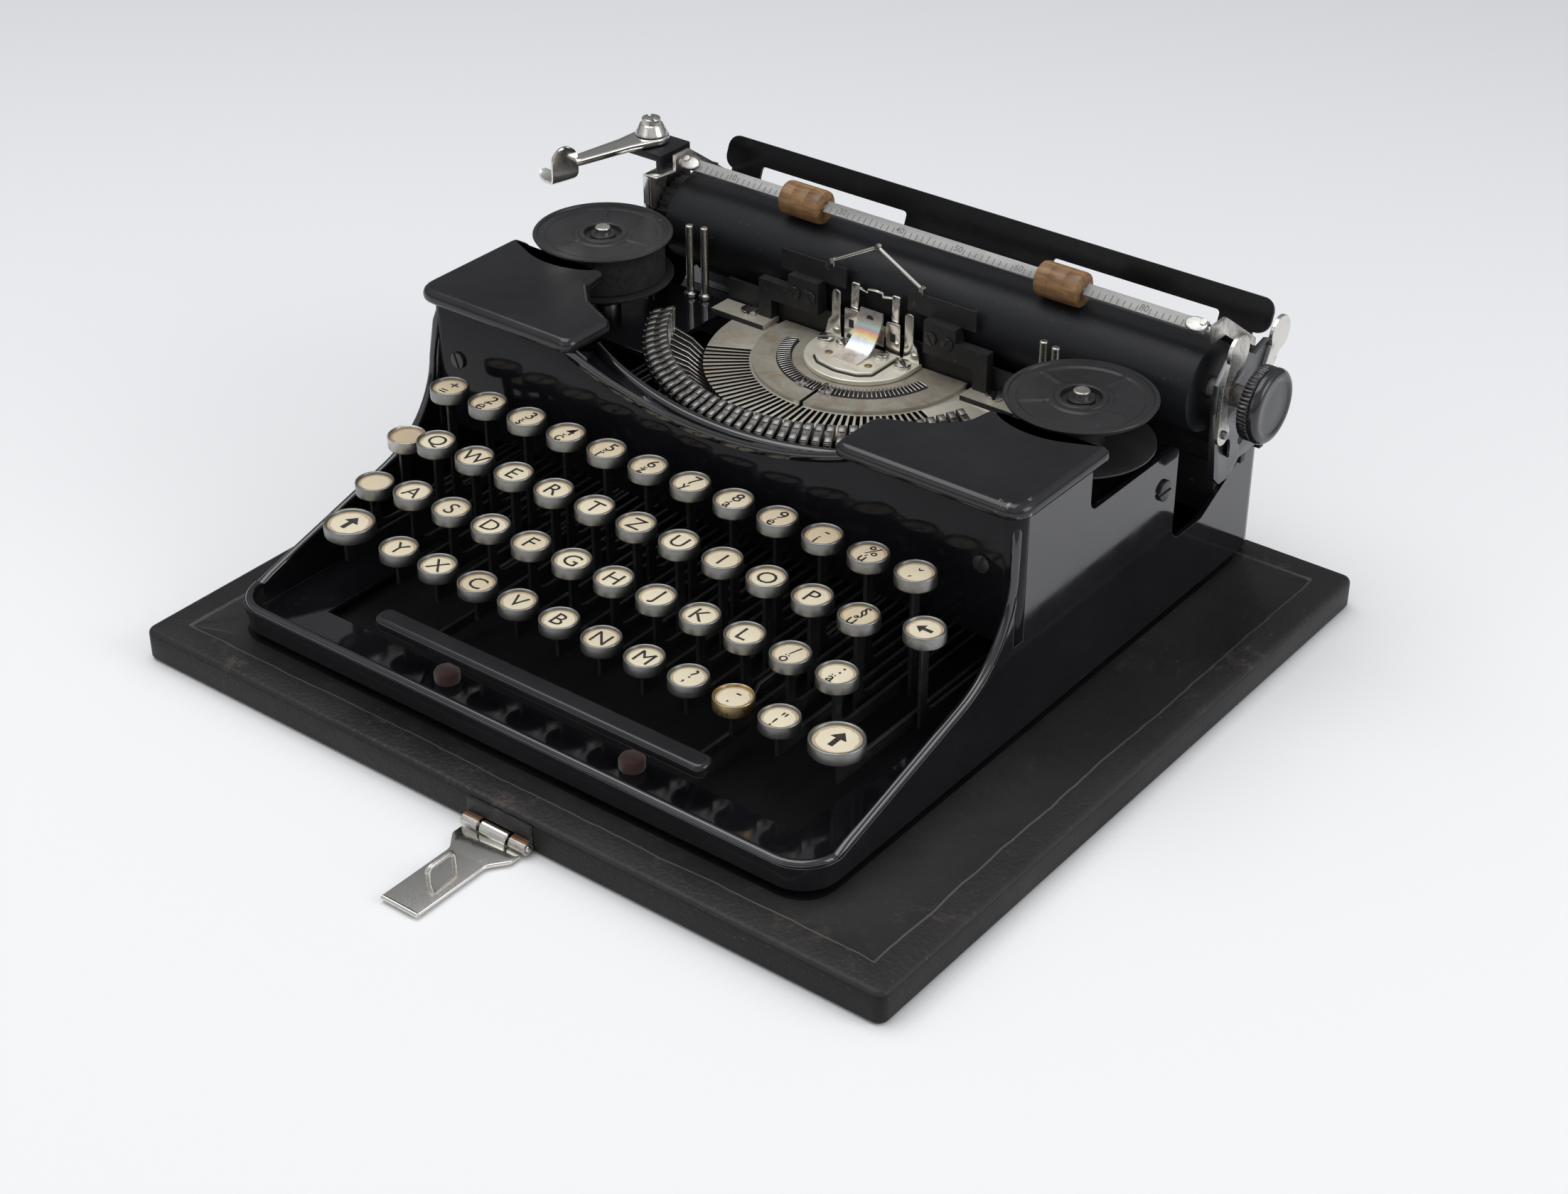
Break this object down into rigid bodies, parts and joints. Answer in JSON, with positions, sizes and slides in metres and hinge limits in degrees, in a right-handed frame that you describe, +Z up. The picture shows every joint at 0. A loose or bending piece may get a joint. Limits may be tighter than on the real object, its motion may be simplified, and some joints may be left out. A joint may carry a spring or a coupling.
{
  "type": "portable typewriter",
  "caption": "Portable manual typewriter on a flat base board, with round keys on levers, a curved fan of typebars, ribbon spools and a sliding carriage with platen, bail and knob.",
  "frame": {"origin": "on the board's underside, in the machine's middle plane and at the middle of the board's depth", "axes": "+Z up, keyboard towards -Y, +X towards the platen knob"},
  "size_m": [0.328, 0.3465, 0.1371],
  "materials": {
    "base_board": "black leathercloth over a wooden board",
    "hasp_leaf": "worn nickel plate",
    "hasp_pin": "worn nickel plate",
    "hasp_strap": "worn nickel plate",
    "rubber_feet": "matt",
    "body_shell": "gloss black enamel",
    "front_panel": "gloss black enamel",
    "left_cover": "satin black enamel with worn edges",
    "right_cover": "satin black enamel with worn edges",
    "rear_crossbar": "black enamel",
    "key_comb": "black enamel",
    "typebar_rest": "black enamel",
    "card_holder": "black enamel",
    "left_end_plate": "black enamel",
    "carriage_rail": "bare steel",
    "key_pivot_rod": "bare steel",
    "ribbon_pins": "bare steel",
    "carriage_frame": "bare steel",
    "spring_drum": "bare steel",
    "type_segment": "stained nickel plate",
    "typebars": "stained nickel plate",
    "typebar_h": "stained nickel plate",
    "type_guide": "stained nickel plate",
    "ribbon_vibrator": "heat-tinted steel",
    "bell": "nickel plate",
    "screws": "nickel plate",
    "felt_pads": "red felt",
    "left_spool": "dull black",
    "right_spool": "dull black",
    "ribbon_roll": "inked ribbon",
    "shift_keys": "nickel rings with cream key faces on steel levers",
    "shift_lock_key": "nickel rings with cream key faces on steel levers",
    "margin_key": "nickel rings with cream key faces on steel levers",
    "backspace_key": "nickel rings with cream key faces on steel levers",
    "key_h": "nickel rings with cream key faces on steel levers",
    "keys_01": "nickel rings with cream key faces on steel levers",
    "keys_02": "nickel rings with cream key faces on steel levers",
    "keys_03": "nickel rings with cream key faces on steel levers",
    "keys_04": "nickel rings with cream key faces on steel levers",
    "keys_05": "nickel rings with cream key faces on steel levers",
    "keys_06": "nickel rings with cream key faces on steel levers",
    "keys_07": "nickel rings with cream key faces on steel levers",
    "keys_08": "nickel rings with cream key faces on steel levers",
    "keys_09": "nickel rings with cream key faces on steel levers",
    "keys_10": "nickel rings with cream key faces on steel levers",
    "keys_11": "nickel rings with cream key faces on steel levers",
    "space_bar": "black",
    "right_end_plate": "grey",
    "paper_table": "black enamel",
    "platen": "dull black rubber on a core",
    "platen_shaft": "steel",
    "platen_ratchet": "steel",
    "platen_knob": "black",
    "feed_roller": "dull rubber",
    "paper_bail": "nickel plate",
    "line_space_lever": "nickel plate",
    "carriage_release": "nickel plate",
    "paper_release": "nickel plate",
    "left_bail_roller": "brown turned wood",
    "right_bail_roller": "brown turned wood"
  },
  "bodies": {
    "base": {"base_board": "base_board", "hasp_leaf": "hasp_leaf", "hasp_pin": "hasp_pin", "rubber_feet": "rubber_feet", "body_shell": "body_shell", "front_panel": "front_panel", "left_cover": "left_cover", "right_cover": "right_cover", "rear_crossbar": "rear_crossbar", "carriage_rail": "carriage_rail", "key_pivot_rod": "key_pivot_rod", "key_comb": "key_comb", "type_segment": "type_segment", "typebars": "typebars", "typebar_rest": "typebar_rest", "type_guide": "type_guide", "card_holder": "card_holder", "ribbon_pins": "ribbon_pins", "bell": "bell", "screws": "screws", "felt_pads": "felt_pads"},
    "strap": {"hasp_strap": "hasp_strap"},
    "spool_left": {"left_spool": "left_spool", "ribbon_roll": "ribbon_roll"},
    "spool_right": {"right_spool": "right_spool"},
    "drum": {"spring_drum": "spring_drum"},
    "vibrator": {"ribbon_vibrator": "ribbon_vibrator"},
    "shift": {"shift_keys": "shift_keys"},
    "lock": {"shift_lock_key": "shift_lock_key"},
    "margin": {"margin_key": "margin_key"},
    "backspace": {"backspace_key": "backspace_key"},
    "space": {"space_bar": "space_bar"},
    "type_h": {"typebar_h": "typebar_h"},
    "lever_h": {"key_h": "key_h"},
    "carriage": {"carriage_frame": "carriage_frame", "left_end_plate": "left_end_plate", "right_end_plate": "right_end_plate", "paper_table": "paper_table"},
    "roller": {"platen": "platen", "platen_shaft": "platen_shaft", "platen_ratchet": "platen_ratchet", "platen_knob": "platen_knob"},
    "feed": {"feed_roller": "feed_roller"},
    "bail": {"paper_bail": "paper_bail"},
    "bail_left": {"left_bail_roller": "left_bail_roller"},
    "bail_right": {"right_bail_roller": "right_bail_roller"},
    "line_lever": {"line_space_lever": "line_space_lever"},
    "release": {"carriage_release": "carriage_release"},
    "paper_lever": {"paper_release": "paper_release"},
    "column_01": {"keys_01": "keys_01"},
    "column_02": {"keys_02": "keys_02"},
    "column_03": {"keys_03": "keys_03"},
    "column_04": {"keys_04": "keys_04"},
    "column_05": {"keys_05": "keys_05"},
    "column_06": {"keys_06": "keys_06"},
    "column_07": {"keys_07": "keys_07"},
    "column_08": {"keys_08": "keys_08"},
    "column_09": {"keys_09": "keys_09"},
    "column_10": {"keys_10": "keys_10"},
    "column_11": {"keys_11": "keys_11"}
  },
  "joints": [
    {"name": "hasp_hinge", "type": "hinge", "parent": "base", "child": "strap", "pos_m": [0.018, -0.1515, 0.003], "axis": [-1, 0, 0], "range_deg": [0, 90]},
    {"name": "left_spool_spin", "type": "hinge", "parent": "base", "child": "spool_left", "pos_m": [-0.1075, 0.052, 0.0995], "axis": [0, 0, 1], "continuous": true},
    {"name": "right_spool_spin", "type": "hinge", "parent": "base", "child": "spool_right", "pos_m": [0.1075, 0.052, 0.0995], "axis": [0, 0, 1], "continuous": true},
    {"name": "press_keys_01", "type": "hinge", "parent": "base", "child": "column_01", "pos_m": [0, 0.1, 0.0315], "axis": [1, 0, 0], "range_deg": [0, 4.5], "stiffness_Nm_per_rad": 1, "springref_deg": -14.32},
    {"name": "press_keys_02", "type": "hinge", "parent": "base", "child": "column_02", "pos_m": [0, 0.1, 0.0315], "axis": [1, 0, 0], "range_deg": [0, 4.5], "stiffness_Nm_per_rad": 1, "springref_deg": -14.32},
    {"name": "press_keys_03", "type": "hinge", "parent": "base", "child": "column_03", "pos_m": [0, 0.1, 0.0315], "axis": [1, 0, 0], "range_deg": [0, 4.5], "stiffness_Nm_per_rad": 1, "springref_deg": -14.32},
    {"name": "press_keys_04", "type": "hinge", "parent": "base", "child": "column_04", "pos_m": [0, 0.1, 0.0315], "axis": [1, 0, 0], "range_deg": [0, 4.5], "stiffness_Nm_per_rad": 1, "springref_deg": -14.32},
    {"name": "press_keys_05", "type": "hinge", "parent": "base", "child": "column_05", "pos_m": [0, 0.1, 0.0315], "axis": [1, 0, 0], "range_deg": [0, 4.5], "stiffness_Nm_per_rad": 1, "springref_deg": -14.32},
    {"name": "press_keys_06", "type": "hinge", "parent": "base", "child": "column_06", "pos_m": [0, 0.1, 0.0315], "axis": [1, 0, 0], "range_deg": [0, 4.5], "stiffness_Nm_per_rad": 1, "springref_deg": -14.32},
    {"name": "press_keys_07", "type": "hinge", "parent": "base", "child": "column_07", "pos_m": [0, 0.1, 0.0315], "axis": [1, 0, 0], "range_deg": [0, 4.5], "stiffness_Nm_per_rad": 1, "springref_deg": -14.32},
    {"name": "press_keys_08", "type": "hinge", "parent": "base", "child": "column_08", "pos_m": [0, 0.1, 0.0315], "axis": [1, 0, 0], "range_deg": [0, 4.5], "stiffness_Nm_per_rad": 1, "springref_deg": -14.32},
    {"name": "press_keys_09", "type": "hinge", "parent": "base", "child": "column_09", "pos_m": [0, 0.1, 0.0315], "axis": [1, 0, 0], "range_deg": [0, 4.5], "stiffness_Nm_per_rad": 1, "springref_deg": -14.32},
    {"name": "press_keys_10", "type": "hinge", "parent": "base", "child": "column_10", "pos_m": [0, 0.1, 0.0315], "axis": [1, 0, 0], "range_deg": [0, 4.5], "stiffness_Nm_per_rad": 1, "springref_deg": -14.32},
    {"name": "press_keys_11", "type": "hinge", "parent": "base", "child": "column_11", "pos_m": [0, 0.1, 0.0315], "axis": [1, 0, 0], "range_deg": [0, 4.5], "stiffness_Nm_per_rad": 1, "springref_deg": -14.32},
    {"name": "press_key_h", "type": "hinge", "parent": "base", "child": "lever_h", "pos_m": [0, 0.1, 0.0315], "axis": [1, 0, 0], "range_deg": [0, 4.5], "stiffness_Nm_per_rad": 0.4, "springref_deg": -14.32},
    {"name": "press_shift", "type": "hinge", "parent": "base", "child": "shift", "pos_m": [0, 0.1, 0.0315], "axis": [1, 0, 0], "range_deg": [0, 3.2], "stiffness_Nm_per_rad": 1.5, "springref_deg": -14.32},
    {"name": "press_shift_lock", "type": "hinge", "parent": "base", "child": "lock", "pos_m": [0, 0.1, 0.0315], "axis": [1, 0, 0], "range_deg": [0, 3.2], "stiffness_Nm_per_rad": 0.4, "springref_deg": -14.32},
    {"name": "press_margin", "type": "hinge", "parent": "base", "child": "margin", "pos_m": [0, 0.1, 0.0315], "axis": [1, 0, 0], "range_deg": [0, 4], "stiffness_Nm_per_rad": 0.4, "springref_deg": -14.32},
    {"name": "press_backspace", "type": "hinge", "parent": "base", "child": "backspace", "pos_m": [0, 0.1, 0.0315], "axis": [1, 0, 0], "range_deg": [0, 4.5], "stiffness_Nm_per_rad": 0.4, "springref_deg": -14.32},
    {"name": "press_space", "type": "hinge", "parent": "base", "child": "space", "pos_m": [0, 0.1, 0.0315], "axis": [1, 0, 0], "range_deg": [0, 1.8], "stiffness_Nm_per_rad": 1, "springref_deg": -14.32},
    {"name": "typebar_h_swing", "type": "hinge", "parent": "base", "child": "type_h", "pos_m": [0.00457, 0.04104, 0.07], "axis": [-0.9986, -0.0523, 0], "range_deg": [0, 112]},
    {"name": "vibrator_lift", "type": "slide", "parent": "base", "child": "vibrator", "axis": [0, 0, 1], "range_m": [0, 0.0085]},
    {"name": "carriage_slide", "type": "slide", "parent": "base", "child": "carriage", "axis": [1, 0, 0], "range_m": [-0.118, 0.092]},
    {"name": "spring_drum_turn", "type": "hinge", "parent": "base", "child": "drum", "pos_m": [-0.07, 0.13, 0.049], "axis": [0, 0, 1], "range_deg": [-560, 440]},
    {"name": "platen_turn", "type": "hinge", "parent": "carriage", "child": "roller", "pos_m": [0.016, 0.0965, 0.101], "axis": [1, 0, 0], "continuous": true},
    {"name": "feed_roller_turn", "type": "hinge", "parent": "carriage", "child": "feed", "pos_m": [0.016, 0.10396, 0.08052], "axis": [1, 0, 0], "continuous": true},
    {"name": "bail_lift", "type": "hinge", "parent": "carriage", "child": "bail", "pos_m": [0.016, 0.118, 0.108], "axis": [-1, 0, 0], "range_deg": [0, 45]},
    {"name": "left_bail_roller_turn", "type": "hinge", "parent": "bail", "child": "bail_left", "pos_m": [-0.041, 0.0925, 0.1243], "axis": [1, 0, 0], "continuous": true},
    {"name": "right_bail_roller_turn", "type": "hinge", "parent": "bail", "child": "bail_right", "pos_m": [0.073, 0.0925, 0.1243], "axis": [1, 0, 0], "continuous": true},
    {"name": "line_space_push", "type": "hinge", "parent": "carriage", "child": "line_lever", "pos_m": [-0.12, 0.0965, 0.127], "axis": [0, 0, 1], "range_deg": [0, 30], "stiffness_Nm_per_rad": 0.15, "springref_deg": -11.46},
    {"name": "carriage_release_press", "type": "hinge", "parent": "carriage", "child": "release", "pos_m": [0.1435, 0.087, 0.09], "axis": [1, 0, 0], "range_deg": [0, 12], "stiffness_Nm_per_rad": 0.1, "springref_deg": -11.46},
    {"name": "paper_release_pull", "type": "hinge", "parent": "carriage", "child": "paper_lever", "pos_m": [0.1435, 0.112, 0.098], "axis": [1, 0, 0], "range_deg": [0, 20]}
  ],
  "couplings": [
    {"joint": "typebar_h_swing", "follows": "press_key_h", "ratio": 24.444},
    {"joint": "vibrator_lift", "follows": "press_key_h", "m_per_rad": 0.10186},
    {"joint": "spring_drum_turn", "follows": "carriage_slide", "rad_per_m": 80},
    {"joint": "feed_roller_turn", "follows": "platen_turn", "ratio": -3.3}
  ]
}
